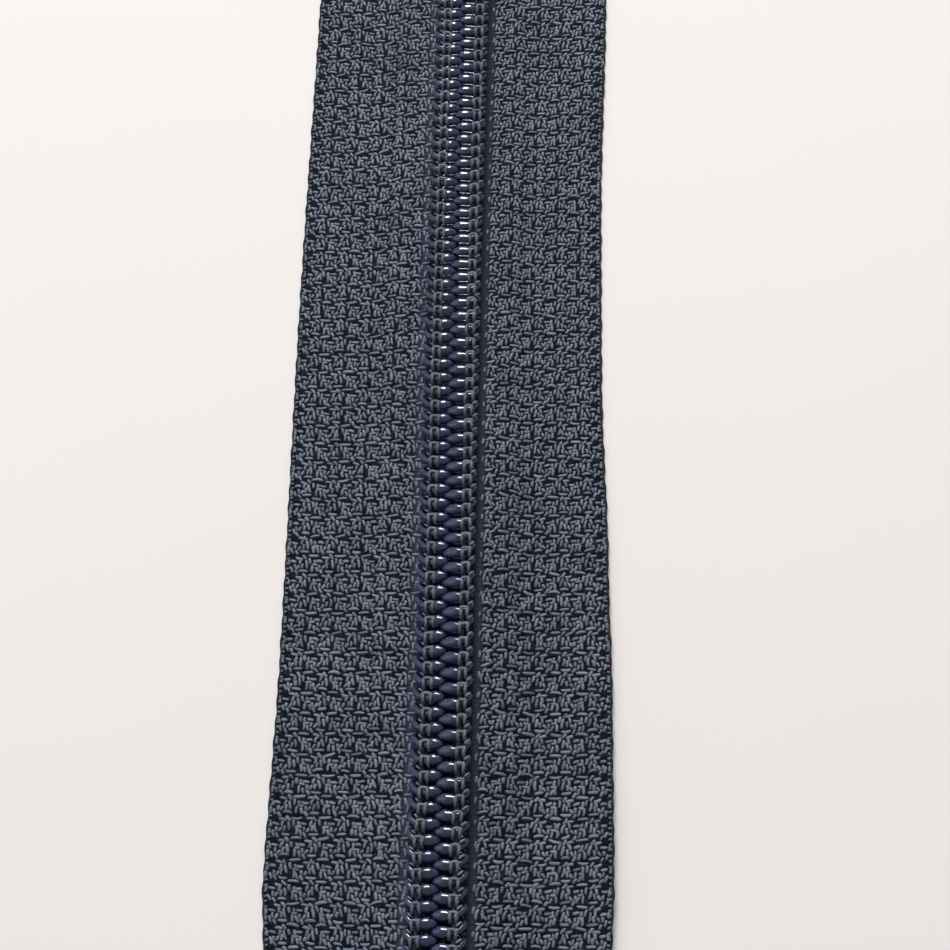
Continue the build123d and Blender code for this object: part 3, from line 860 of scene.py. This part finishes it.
def stitches(side, seed):
    """Needle stitches of one side, as tubes of each kind: every stitch is its kind's shape at its own turn
    of the coil, a little out of place, and shifted as the sewing lies on the chain."""
    coil, seam = sizes("coil"), sizes("seam")
    random = np.random.default_rng(seed)
    number = np.arange(*turn_numbers())
    count, corners = len(number), 7
    pieces = {}
    for part, (shape, weight) in stitch_shapes(side).items():
        path = np.broadcast_to(shape, (count, *shape.shape)).copy()
        path[:, :, 0] += random.normal(0, 0.035, (count, 1)) + random.normal(0, 0.02, path.shape[:2])
        path[:, :, 1] += random.normal(0, 0.03, (count, 1)) + number[:, None] + PHASE[side]
        path[:, :, 1] *= coil.pitch
        path[:, :, 0] += side * wander(path[:, :, 1], *SEAM_LIE)
        path = smooth_loop(path, 2)
        placed = on_stringer(side, path[..., 0], path[..., 1], path[..., 2])
        reference = (0, 1, 0.3) if part == "stitch_bars" else (1, 0, 0.2)
        radius = seam.thread / 2 * weight
        points, faces = tubes(placed, radius * 1.25, radius * 0.9, corners, reference)
        shade = np.repeat(random.uniform(0.2, 1, count), placed.shape[1] * corners)
        pieces[part] = (points, faces, shade)
    return pieces


def looper_loops(side, line):
    """The looper thread under one seam: an oval tube that waves from side to side once in each turn."""
    coil, seam = sizes("coil"), sizes("seam")
    swing, corners = 0.22, 6
    along = np.arange(COIL_LOW[1] - 1, COIL_HIGH[1] + 0.5, coil.pitch / 6)
    level = LOOPER_BOTTOM + seam.looper / 2 - TAPE_HIGH[2]
    wave = swing * np.sin(along * 2 * math.pi / coil.pitch)
    middle = getattr(seam, line) + (wave if line == "inner" else -wave)
    path = on_stringer(side, middle, along, level)[None]
    return tubes(path, seam.looper * 0.6, seam.looper / 2, corners, (1, 0, 0.1))


class ZIPPER_OT_seams(bpy.types.Operator):
    """Sew the coils to the tapes: needle stitches on top and looper threads underneath"""

    bl_idname = "zipper.seams"
    bl_label = "Sew Seams"

    def execute(self, context):
        stands_for = {"inner_stitches": ["inner_needle_thread"], "outer_stitches": ["outer_needle_thread"]}
        for seed, (name, side) in enumerate(SIDES.items(), start=100):
            for part, (points, faces, shade) in stitches(side, seed).items():
                stringer_piece(name, part, points, faces, "thread", "thread", stands_for.get(part, ()),
                               shade=shade)
            for line in ("inner", "outer"):
                points, faces = looper_loops(side, line)
                stringer_piece(name, f"{line}_looper_loops", points, faces, "thread", "thread",
                               [f"{line}_looper_thread"], shade=np.full(len(points), 0.6))
        return {"FINISHED"}


# ------------ hardware
HARDWARE = {
    "enamel": ("slider_body", "crown_cap", "pull_tab", "bottom_stop", "left_top_stop", "right_top_stop"),
    "steel": ("lock_spring",),
}


class ZIPPER_OT_hardware(bpy.types.Operator):
    """Enamel the slider, pull tab and stops, and leave the lock spring bare steel"""

    bl_idname = "zipper.hardware"
    bl_label = "Finish Hardware"

    def execute(self, context):
        for kind, nodes in HARDWARE.items():
            for node in nodes:
                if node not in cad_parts:
                    raise RuntimeError(f"The solid model has no part named {node}")
                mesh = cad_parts[node].data
                mesh.materials.clear()
                mesh.materials.append(finish_of(kind))
        return {"FINISHED"}


# ------------ stage
# Half the paper's side and its depth under the zipper, in millimetres: deep enough that they don't touch.
PAPER_HALF = 900
PAPER_DEPTH = 0.02

# Lamps aimed at the zipper: name, place and size in metres, and power in watts.  The strip light stands
# beyond the slider, and its reflection makes the row of small highlights on the coils.
LAMPS = (
    ("window", (-0.40, 0.04, 0.36), (0.5, 0.5), 0.42),
    ("strip_light", (-0.06, 0.80, 0.67), (0.46, 0.50), 12.2),
)
ROOM_COLOUR = (1.0, 0.985, 0.97, 1)
ROOM_STRENGTH = 0.255
SENSOR_WIDTH = 36.0


def lay_paper(stage):
    """A square of paper on the table."""
    x = np.array([-1, 1, 1, -1]) * PAPER_HALF
    y = np.array([-1, -1, 1, 1]) * PAPER_HALF
    corners = np.stack([x, y, np.full(4, -PAPER_DEPTH)], axis=-1)
    floor = mesh_piece("paper_floor", corners, [np.array([[0, 1, 2, 3]])], matt_paper(stage), smooth=False)


def light_room(scene, stage):
    """An even room and two lamps."""
    world = bpy.data.worlds.new("soft_room")
    world.use_nodes = True
    background = world.node_tree.nodes["Background"]
    background.inputs["Color"].default_value = ROOM_COLOUR
    background.inputs["Strength"].default_value = ROOM_STRENGTH
    scene.world = world
    for name, place, size, power in LAMPS:
        lamp = bpy.data.lights.new(name, "AREA")
        lamp.shape, lamp.energy = "RECTANGLE", power
        lamp.size, lamp.size_y = size
        holder = bpy.data.objects.new(name, lamp)
        holder.location = place
        aim = Vector((0, stage.aim_along, 0)) - Vector(place)
        holder.rotation_euler = aim.to_track_quat("-Z", "Y").to_euler()
        scene.collection.objects.link(holder)


def place_camera(scene, stage):
    """The camera stands back from its aim along the azimuth and elevation, and is rolled about its line of
    sight."""
    aim = Vector((stage.aim_across, stage.aim_along, 0))
    level = math.cos(stage.elevation)
    back = Vector((math.sin(stage.azimuth) * level, -math.cos(stage.azimuth) * level,
                   math.sin(stage.elevation)))
    camera = bpy.data.cameras.new("camera")
    camera.lens, camera.sensor_width = stage.lens, SENSOR_WIDTH
    camera.clip_start, camera.clip_end = 0.005, 10.0
    holder = bpy.data.objects.new("camera", camera)
    turn = (-back).to_track_quat("-Z", "Y").to_matrix() @ Matrix.Rotation(stage.roll, 3, "Z")
    holder.matrix_world = Matrix.Translation(aim + back * stage.distance) @ turn.to_4x4()
    scene.collection.objects.link(holder)
    scene.camera = holder


class ZIPPER_OT_stage(bpy.types.Operator):
    """Lay the zipper on pale paper under soft light, with the camera looking down its length"""

    bl_idname = "zipper.stage"
    bl_label = "Set Stage"

    def execute(self, context):
        scene, stage = context.scene, context.scene.zipper_stage
        lay_paper(stage)
        light_room(scene, stage)
        place_camera(scene, stage)
        scene.view_settings.view_transform = "Standard"
        return {"FINISHED"}


# ------------ sidebar and registration
class ZIPPER_PT_panel(bpy.types.Panel):
    """Lists the zipper's settings and the steps that build it"""

    bl_idname = "ZIPPER_PT_panel"
    bl_label = "Coil Zipper"
    bl_space_type = "VIEW_3D"
    bl_region_type = "UI"
    bl_category = "Zipper"

    def draw(self, context):
        for name in GROUPS:
            box = self.layout.box()
            box.label(text=name.removeprefix("zipper_").capitalize())
            settings = getattr(context.scene, name)
            for key in settings.bl_rna.properties.keys():
                if key not in ("rna_type", "name"):
                    box.prop(settings, key)
        for step in STEPS:
            self.layout.operator(step.bl_idname)


GROUPS = {
    "zipper_tape": ZipperTapeSettings, "zipper_coil": ZipperCoilSettings,
    "zipper_seam": ZipperSeamSettings, "zipper_finish": ZipperFinishSettings,
    "zipper_stage": ZipperStageSettings,
}
STEPS = (ZIPPER_OT_tapes, ZIPPER_OT_coils, ZIPPER_OT_seams, ZIPPER_OT_hardware, ZIPPER_OT_stage)


def register():
    """Add the settings to the scene, and the steps and the panel to Blender."""
    for name, group in GROUPS.items():
        bpy.utils.register_class(group)
        setattr(bpy.types.Scene, name, bpy.props.PointerProperty(type=group))
    for step in (*STEPS, ZIPPER_PT_panel):
        bpy.utils.register_class(step)


def unregister():
    """Take them all out again, last in first out."""
    for step in (ZIPPER_PT_panel, *reversed(STEPS)):
        bpy.utils.unregister_class(step)
    for name, group in reversed(GROUPS.items()):
        delattr(bpy.types.Scene, name)
        bpy.utils.unregister_class(group)


def main():
    """Build the whole zipper and its stage."""
    register()
    bpy.ops.zipper.tapes()
    bpy.ops.zipper.coils()
    bpy.ops.zipper.seams()
    bpy.ops.zipper.hardware()
    bpy.ops.zipper.stage()


if __name__ == "__main__":
    main()
